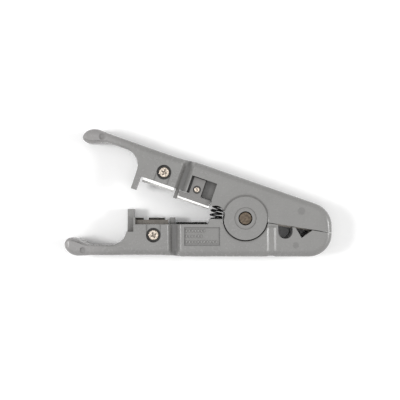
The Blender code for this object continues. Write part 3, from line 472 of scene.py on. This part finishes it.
def painted_hook_and_groove(finish, color, tone, rough, along):
    """A lever's hook painted lighter as a highlight, and painted shade across the bottom of its
    grip groove, which is also made rougher.
    """
    hook_highlight = finish.span(along, 1.0, 0.0, HOOK_TIP_X, HOOK_ROOT_X)
    tone = finish.blend(hook_highlight, tone, shade(tint(color, HOOK_HIGHLIGHT_TINT), HOOK_HIGHLIGHT_TONE))
    # Painted shade across the groove's bottom, where the plastic is also made rougher
    off_groove = finish.distance(along, GROOVE_X)
    groove_shade = finish.span(off_groove, 1.0, 0.0, GROOVE_SHADE_FULL, GROOVE_SHADE_REACH)
    tone = finish.blend(groove_shade, tone, shade(color, GROOVE_SHADE_TONE))
    rough = finish.math("ADD", rough, finish.math("MULTIPLY", groove_shade, GROOVE_ROUGH))
    return tone, rough


def painted_panel_shade(finish, color, tone, height):
    """Painted shade that lies along the walls of the recessed panel, on the near face only."""
    inset = finish.panel_inset()
    inside = finish.span(inset, 0.0, 1.0, 0.0, PANEL_SHADE_START)
    by_wall = finish.span(inset, 1.0, PANEL_SHADE_THIN, 0.0, PANEL_SHADE_REACH)
    share = finish.math("MULTIPLY", inside, by_wall)
    near = finish.span(height, 0.0, 1.0, MID_Z, MID_Z + MM)
    share = finish.math("MULTIPLY", share, near)
    return finish.blend(share, tone, shade(color, PANEL_SHADE_TONE))


def ground_steel(name, color, turn_deg, painted_bevel_tone):
    """Blade steel with grinding lines across it, a bevel whose own tone paints its reflection,
    and painted shade in narrow gaps.
    """
    finish = Finish(name, roughness=0.3, metallic=1.0)
    place = finish.stretched(across=0.12 * MM, along=4.0 * MM, turn_deg=turn_deg)
    lines = finish.noise(size=1.0, detail=3.0, place=place)
    cloud = finish.noise(size=1.5 * MM, detail=3.0)
    flat = finish.blend(finish.span(cloud, 0.0, 1.0, start=0.35, end=0.65), shade(color, 0.9),
                        shade(color, 1.08))
    up = finish.add("ShaderNodeNewGeometry").outputs["True Normal"]
    upright = finish.add("ShaderNodeSeparateXYZ", Vector=up).outputs["Z"]
    level = finish.span(finish.math("ABSOLUTE", upright), 0.0, 1.0, *FLAT_SPAN)
    # The bevel's own tone paints its reflection darker or lighter than the flats'
    tone = finish.blend(level, shade(color, painted_bevel_tone), flat)
    # Painted shade in narrow gaps, from the ambient occlusion
    exposed = finish.shelter(reach=1.5 * MM, start=0.0, end=0.45)
    tone = finish.blend(exposed, shade(color, 0.15), tone)
    rough = finish.math("ADD", finish.span(lines, 0.2, 0.38, *NOISE_SPAN),
                        finish.span(level, 0.25, 0.0))
    normal = finish.bump(lines, depth=0.0015 * MM, normal=finish.edges(radius=0.04 * MM))
    return finish.surface(tone, rough, normal)


def plated_screw(name, color):
    """Bright plating with fine specks, and painted shade in the cross recess."""
    finish = Finish(name, roughness=0.2, metallic=1.0)
    speck = finish.noise(size=0.6 * MM, detail=3.0)
    bright = finish.blend(finish.span(speck, 0.0, 1.0, start=0.4, end=0.6), shade(color, 0.5),
                          shade(color, 1.3))
    # Painted shade in the cross recess, from the ambient occlusion
    exposed = finish.shelter(reach=0.9 * MM, start=0.3, end=0.85)
    tone = finish.blend(exposed, shade(color, 0.4), bright)
    rough = finish.span(finish.noise(size=0.25 * MM, detail=3.0), 0.14, 0.34, *NOISE_SPAN)
    normal = finish.bump(speck, depth=0.03 * MM, normal=finish.edges(radius=0.08 * MM))
    return finish.surface(tone, rough, normal)


def browned_brass(name, color):
    """The pin's dull end: browned, spotted and faintly scratched."""
    finish = Finish(name, roughness=0.4, metallic=1.0)
    spots = finish.noise(size=0.9 * MM, detail=5.0)
    tone = finish.blend(finish.span(spots, 0.0, 1.0, start=0.38, end=0.62), shade(color, 0.62),
                        shade(color, 1.2))
    place = finish.stretched(across=0.1 * MM, along=2.5 * MM, turn_deg=34.0)
    scratch = finish.noise(size=1.0, detail=4.0, place=place)
    rough = finish.span(scratch, 0.28, 0.5, *NOISE_SPAN)
    normal = finish.bump(scratch, depth=0.004 * MM, normal=finish.edges(radius=0.12 * MM))
    return finish.surface(tone, rough, normal)


def black_wire(name, color):
    """Blackened spring wire, worn lighter in places."""
    finish = Finish(name, roughness=0.32, metallic=1.0)
    worn = finish.noise(size=0.7 * MM, detail=4.0)
    tone = finish.blend(finish.span(worn, 0.0, 1.0, start=0.45, end=0.75), shade(color, 0.7),
                        shade(color, 2.4))
    rough = finish.span(finish.noise(size=0.3 * MM, detail=3.0), 0.25, 0.42, *NOISE_SPAN)
    normal = finish.bump(finish.noise(size=0.15 * MM, detail=2.0), depth=0.003 * MM)
    return finish.surface(tone, rough, normal)


# One operator for each piece or group of like pieces

class STRIPPER_OT_levers(bpy.types.Operator):
    """Give both levers their moulded grey finish"""
    bl_idname = "stripper.levers"
    bl_label = "Finish the Levers"

    def execute(self, context):
        settings = context.scene.stripper_plastic
        for node, swing_deg, panel in (("lower_lever", 0.0, True),
                                       ("upper_lever", OPEN_DEG, False)):
            plastic = moulded_plastic(node + "_plastic", settings.lever, settings,
                                      swing_deg=swing_deg, panel=panel)
            smooth_solid(node, plastic)
        return {"FINISHED"}


class STRIPPER_OT_marks(bpy.types.Operator):
    """Add the pips of the recessed panel and the round ejector marks"""
    bl_idname = "stripper.marks"
    bl_label = "Add the Moulding Marks"

    def execute(self, context):
        settings = context.scene.stripper_plastic
        width = PANEL_RIGHT - PANEL_LEFT
        foot = FACE_Z - PANEL_DEPTH - PIP_ROOT
        bm = bmesh.new()
        for down, start, end in PIP_ROWS:
            y = PANEL_TOP + (PANEL_LOW - PANEL_TOP) * down
            count = int((end - start) * width / PIP_PITCH)
            for k in range(count + 1):
                x = PANEL_LEFT + start * width + k * PIP_PITCH
                dome(bm, (x, y, foot), PIP_ACROSS, PIP_HEIGHT)
        pip_color = [PIP_SHADE * part for part in settings.lever]
        plastic = moulded_plastic("pip_plastic", pip_color, settings, rounding=None)
        add_piece("panel_pips", bm, LOWER, plastic)

        mark_color = [MARK_SHADE * part for part in settings.lever]
        mark = moulded_plastic("mark_plastic", mark_color, settings, rounding=None)
        for name, body, (x, y, radius) in (("ejector_mark_lower", LOWER, LOWER_MARK),
                                           ("ejector_mark_upper", UPPER, UPPER_MARK)):
            bm = bmesh.new()
            dome(bm, (x, y, FACE_Z - MARK_ROOT), (2.0 * radius, 2.0 * radius), MARK_HEIGHT)
            add_piece(name, bm, body, mark)
        return {"FINISHED"}


class STRIPPER_OT_carrier(bpy.types.Operator):
    """Give the blade carrier its darker plastic"""
    bl_idname = "stripper.carrier"
    bl_label = "Finish the Carrier"

    def execute(self, context):
        settings = context.scene.stripper_plastic
        plastic = moulded_plastic("carrier_plastic", settings.carrier, settings)
        smooth_solid("blade_carrier", plastic)
        return {"FINISHED"}


class STRIPPER_OT_blades(bpy.types.Operator):
    """Give the blades and the anvil their ground steel"""
    bl_idname = "stripper.blades"
    bl_label = "Finish the Blades"

    def execute(self, context):
        settings = context.scene.stripper_metal
        # Node, slot, colour, turn of the grinding lines, painted tone of the bevel's reflection
        finishes = (
            ("stripping_blade_upper", "blade_steel", settings.steel, OPEN_DEG, 0.5),
            ("cutter_blade", "blade_steel", settings.steel, OPEN_DEG, 1.0),
            ("stripping_blade_lower", "dark_steel", settings.dark_steel, 0.0, 0.3),
            ("cutter_anvil", "dark_steel", settings.black_steel, 0.0, 0.5),
            ("jaw_blade", "dark_steel", settings.dark_steel, OPEN_DEG, 3.0),
        )
        for node, slot, color, turn_deg, painted_bevel_tone in finishes:
            steel = ground_steel(node + "_steel", color, turn_deg, painted_bevel_tone)
            smooth_solid(node, steel)
        return {"FINISHED"}


class STRIPPER_OT_screws(bpy.types.Operator):
    """Turn the three cross-headed screws, their threads with them"""
    bl_idname = "stripper.screws"
    bl_label = "Turn the Screws"

    def execute(self, context):
        plating = plated_screw("screw_nickel", context.scene.stripper_metal.nickel)
        # Node, body, height of the head, radius of the shank, turn of the cross
        screws = (
            ("blade_screw_lower", LOWER, 2.3 * MM, 1.25 * MM, 25.0),
            ("blade_screw_upper", UPPER, 2.3 * MM, 1.25 * MM, 62.0),
            ("carrier_screw", UPPER, 0.8 * MM, 0.8 * MM, 10.0),
        )
        for node, body, head, shank_r, turn_deg in screws:
            low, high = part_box(node)
            radius = (high.x - low.x) / 2.0
            centre = (low + high) / 2.0
            bm = bmesh.new()
            rings = self.head_rings(bm, radius, head, turn_deg)
            rings += self.shank_rings(bm, head, shank_r, high.z - low.z)
            join_rings(bm, rings)
            bm.faces.new(rings[0])
            bm.faces.new(rings[-1][::-1])
            bmesh.ops.translate(bm, verts=bm.verts, vec=(centre.x, centre.y, high.z))
            piece = add_piece(node + "_threaded", bm, body, plating)
            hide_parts(node)
        return {"FINISHED"}

    def ring(self, bm, radius, height):
        """A ring about Z whose radius and height may vary round it."""
        sides = 72
        ring = []
        for k in range(sides):
            turn = 2.0 * math.pi * k / sides
            r = radius(turn) if callable(radius) else radius
            z = height(turn) if callable(height) else height
            ring.append(bm.verts.new((r * math.cos(turn), r * math.sin(turn), z)))
        return ring

    def head_rings(self, bm, radius, head, turn_deg):
        """Rings of a nearly flat head: the cross recess, the rounded rim, the underside."""
        reach = 0.56 * radius
        half = 0.11 * radius
        core_r = 0.24 * radius
        wall = 0.05 * radius
        end_slope = 0.6
        depth = 0.4 * min(head, radius)
        crown = 0.03 * radius
        flat_r = 0.86 * radius
        rim_r = 0.14 * radius
        underside = 0.97
        skew = math.radians(turn_deg)

        def sunk(r, turn):
            """Depth of the cross recess at a place on the head."""
            x = abs(r * math.cos(turn - skew))
            y = abs(r * math.sin(turn - skew))
            arm = min(half - min(x, y), (reach - max(x, y)) * end_slope)
            core = core_r - math.hypot(x, y)
            return depth * min(max(max(arm, core) / wall, 0.0), 1.0)

        rings = []
        steps = 26
        for i in range(1, steps + 1):
            r = flat_r * i / steps
            level = crown * (1.0 - (r / flat_r) ** 2) - crown
            rings.append(self.ring(bm, r, lambda turn, r=r, level=level: level - sunk(r, turn)))
        rim_steps = 6
        for i in range(1, rim_steps + 1):
            angle = math.radians(90.0 / rim_steps * i)
            rings.append(self.ring(bm, flat_r + rim_r * math.sin(angle),
                                   -crown - rim_r * (1.0 - math.cos(angle))))
        rings.append(self.ring(bm, radius, -underside * head))
        rings.append(self.ring(bm, underside * radius, -head))
        return rings

    def shank_rings(self, bm, head, shank_r, length):
        """Rings of the shank with one thread that runs out at both ends."""
        pitch = 0.44 * shank_r * 2.0
        crest = 0.17 * shank_r
        core_r = shank_r - crest
        flank = 0.3
        tip = 0.65
        run = length - head
        steps_per_pitch = 10.0
        count = int(run / (pitch / steps_per_pitch))
        rings = [self.ring(bm, core_r, -head)]
        for i in range(1, count + 1):
            down = run * i / count
            fade = min(down, run - down, pitch) / pitch
            point = (1.0 - tip) * min(1.0, (run - down) / shank_r) + tip

            def wave(turn, down=down, fade=fade, point=point):
                """Radius of the threaded shank at a bearing."""
                phase = (down / pitch - turn / (2.0 * math.pi)) % 1.0
                rise = max(0.0, 1.0 - abs(phase - 0.5) / flank)
                return core_r * point + crest * fade * rise

            rings.append(self.ring(bm, wave, -head - down))
        return rings


class STRIPPER_OT_pin(bpy.types.Operator):
    """Give the pivot pin its browned brass"""
    bl_idname = "stripper.pin"
    bl_label = "Finish the Pin"

    def execute(self, context):
        brass = browned_brass("pin_brass", context.scene.stripper_metal.brass)
        smooth_solid("pivot_pin", brass)
        return {"FINISHED"}


class STRIPPER_OT_spring(bpy.types.Operator):
    """Wind the round-wire spring that bends between its two pockets"""
    bl_idname = "stripper.spring"
    bl_label = "Wind the Spring"

    def execute(self, context):
        form = context.scene.stripper_spring
        low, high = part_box("return_spring")
        radius = -low.x - (high.z - low.z) / 2.0
        seat = -low.y - form.wire / 2.0
        swing = math.radians(OPEN_DEG)
        length = 2.0 * seat + radius * swing
        closed = 1.08 * form.wire
        coil_r = (form.outer - form.wire) / 2.0
        per_turn = 40
        bm = bmesh.new()
        rings = []
        for i in range(form.turns * per_turn + 1):
            turns = i / per_turn
            left = form.turns - turns
            travel = closed + (length - 2.0 * closed) * (turns - 1.0) / (form.turns - 2.0)
            if turns <= 1.0:
                travel = closed * turns
            if left <= 1.0:
                travel = length - closed * left
            lean = -min(max((travel - seat) / radius, 0.0), swing)
            straight = min(travel - seat, 0.0) + max(travel - seat - radius * swing, 0.0)
            turn = Matrix.Rotation(lean, 3, "Z")
            centre = turn @ Vector((-radius, straight, 0.0)) + Vector((0.0, 0.0, MID_Z))
            angle = 2.0 * math.pi * turns
            outward = turn @ Vector((math.cos(angle), 0.0, math.sin(angle)))
            along = turn @ Vector((0.0, 1.0, 0.0))
            middle = centre + outward * coil_r
            rings.append(self.wire_ring(bm, middle, outward, along, form.wire))
        join_rings(bm, rings)
        bm.faces.new(rings[0][::-1])
        bm.faces.new(rings[-1])
        wire = black_wire("spring_wire", context.scene.stripper_metal.wire)
        spring = add_piece("spring_coil", bm, None, wire)
        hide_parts("return_spring")
        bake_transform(spring)
        return {"FINISHED"}

    def wire_ring(self, bm, middle, outward, along, wire):
        """A ring round the wire, in the plane of two directions."""
        sides = 14
        ring = []
        for k in range(sides):
            around = 2.0 * math.pi * k / sides
            offset = outward * math.cos(around) + along * math.sin(around)
            ring.append(bm.verts.new(middle + offset * wire / 2.0))
        return ring


class STRIPPER_OT_stage(bpy.types.Operator):
    """Set up the pale floor, the soft lamps and the camera above the tool"""
    bl_idname = "stripper.stage"
    bl_label = "Set the Stage"

    def execute(self, context):
        settings = context.scene.stripper_stage
        low, high = SOLID_BOX
        middle = (low + high) / 2.0
        self.add_floor(middle)
        self.add_sky(context, settings)
        # Name, power, width and length, bearing from +X, rise above the level
        lamps = (
            ("top_lamp", settings.top_power, (0.6, 0.6), 0.0, 90.0),
            ("left_lamp", settings.side_power, (0.6, 0.2), 181.0, 27.0),
            ("right_lamp", settings.side_power, (0.6, 0.2), -4.0, 27.0),
            ("left_glint_lamp", LEFT_GLINT * settings.glint_power, (0.16, 0.16), 180.0, 48.0),
            ("right_glint_lamp", settings.glint_power, (0.16, 0.16), 0.0, 34.0),
        )
        for name, power, size, turn_deg, rise_deg in lamps:
            self.add_lamp(name, power, size, middle, turn_deg, rise_deg)
        self.add_camera(context, settings)
        context.scene.view_settings.view_transform = "Standard"
        return {"FINISHED"}

    def add_floor(self, middle):
        """A wide white floor that keeps the tool's soft shadow."""
        bm = bmesh.new()
        bmesh.ops.create_grid(bm, x_segments=1, y_segments=1, size=FLOOR_HALF,
                              matrix=Matrix.Translation((middle.x, middle.y, -FLOOR_DROP)))
        material = bpy.data.materials.new("floor_white")
        material.use_nodes = True
        tree = material.node_tree
        tree.nodes.remove(tree.nodes["Principled BSDF"])
        unseen = tree.nodes.new("ShaderNodeBsdfDiffuse")
        unseen.inputs["Color"].default_value = FLOOR_LIT
        seen = tree.nodes.new("ShaderNodeBsdfDiffuse")
        seen.inputs["Color"].default_value = FLOOR_SEEN
        self.mix_by_ray(tree, unseen, seen, tree.nodes["Material Output"])
        floor = add_mesh("floor", bm, material)

    def add_sky(self, context, settings):
        """Even light all round, which the camera and the metal see as white."""
        world = bpy.data.worlds.new("studio")
        context.scene.world = world
        world.use_nodes = True
        tree = world.node_tree
        unseen = tree.nodes["Background"]
        unseen.inputs["Color"].default_value = WHITE
        unseen.inputs["Strength"].default_value = settings.sky
        seen = tree.nodes.new("ShaderNodeBackground")
        seen.inputs["Color"].default_value = WHITE
        seen.inputs["Strength"].default_value = 1.0
        self.mix_by_ray(tree, unseen, seen, tree.nodes["World Output"])

    def mix_by_ray(self, tree, unseen, seen, output):
        """Join two shaders: one for rays that the camera sees direct, mirrored or through
        glass, the other for the light that falls on the tool."""
        path = tree.nodes.new("ShaderNodeLightPath")
        rays = path.outputs["Is Camera Ray"]
        for ray in ("Is Glossy Ray", "Is Transmission Ray"):
            either = tree.nodes.new("ShaderNodeMath")
            either.operation = "MAXIMUM"
            tree.links.new(rays, either.inputs[0])
            tree.links.new(path.outputs[ray], either.inputs[1])
            rays = either.outputs[0]
        mix = tree.nodes.new("ShaderNodeMixShader")
        tree.links.new(rays, mix.inputs["Fac"])
        tree.links.new(unseen.outputs[0], mix.inputs[1])
        tree.links.new(seen.outputs[0], mix.inputs[2])
        tree.links.new(mix.outputs["Shader"], output.inputs["Surface"])

    def add_lamp(self, name, power, size, target, turn_deg, rise_deg):
        """A soft rectangular lamp aimed at the tool, at a bearing from +X and a rise."""
        rise = math.radians(rise_deg)
        bearing = Matrix.Rotation(math.radians(turn_deg), 3, "Z")
        ray = bearing @ Vector((math.cos(rise), 0.0, math.sin(rise)))
        lamp = bpy.data.lights.new(name, "AREA")
        lamp.shape = "RECTANGLE"
        lamp.size = size[0]
        lamp.size_y = size[1]
        lamp.energy = power
        holder = bpy.data.objects.new(name, lamp)
        holder.location = target + LAMP_DISTANCE * ray
        holder.rotation_euler = ray.to_track_quat("Z", "Y").to_euler()
        bpy.context.scene.collection.objects.link(holder)

    def add_camera(self, context, settings):
        """The camera looks straight down, with the nose on the right."""
        camera = bpy.data.cameras.new("camera")
        camera.lens = camera.sensor_width * settings.camera_rise / settings.view_width
        camera.clip_start = CLIP_START
        holder = bpy.data.objects.new("camera", camera)
        holder.location = (*VIEW_CENTRE, FACE_Z + settings.camera_rise)
        bpy.context.scene.collection.objects.link(holder)
        context.scene.camera = holder


class STRIPPER_PT_panel(bpy.types.Panel):
    """Lists the settings and the steps that dress the cable stripper"""
    bl_idname = "STRIPPER_PT_panel"
    bl_label = "Cable Stripper"
    bl_space_type = "VIEW_3D"
    bl_region_type = "UI"
    bl_category = "Stripper"

    def draw(self, context):
        for name in GROUPS:
            settings = getattr(context.scene, name)
            column = self.layout.column(align=True)
            for prop in settings.__annotations__:
                column.prop(settings, prop)
        column = self.layout.column(align=True)
        for operator in OPERATORS:
            column.operator(operator.bl_idname)


GROUPS = {
    "stripper_plastic": PlasticSettings,
    "stripper_metal": MetalSettings,
    "stripper_spring": SpringSettings,
    "stripper_stage": StageSettings,
}
OPERATORS = (
    STRIPPER_OT_levers,
    STRIPPER_OT_marks,
    STRIPPER_OT_carrier,
    STRIPPER_OT_blades,
    STRIPPER_OT_screws,
    STRIPPER_OT_pin,
    STRIPPER_OT_spring,
    STRIPPER_OT_stage,
)


def register():
    for name, group in GROUPS.items():
        bpy.utils.register_class(group)
        setattr(bpy.types.Scene, name, PointerProperty(type=group))
    for operator in OPERATORS:
        bpy.utils.register_class(operator)
    bpy.utils.register_class(STRIPPER_PT_panel)


def unregister():
    bpy.utils.unregister_class(STRIPPER_PT_panel)
    for operator in reversed(OPERATORS):
        bpy.utils.unregister_class(operator)
    for name, group in GROUPS.items():
        delattr(bpy.types.Scene, name)
        bpy.utils.unregister_class(group)


def main():
    """Register the classes and run the steps in order."""
    register()
    for operator in OPERATORS:
        family, step = operator.bl_idname.split(".")
        getattr(getattr(bpy.ops, family), step)()


if __name__ == "__main__":
    main()
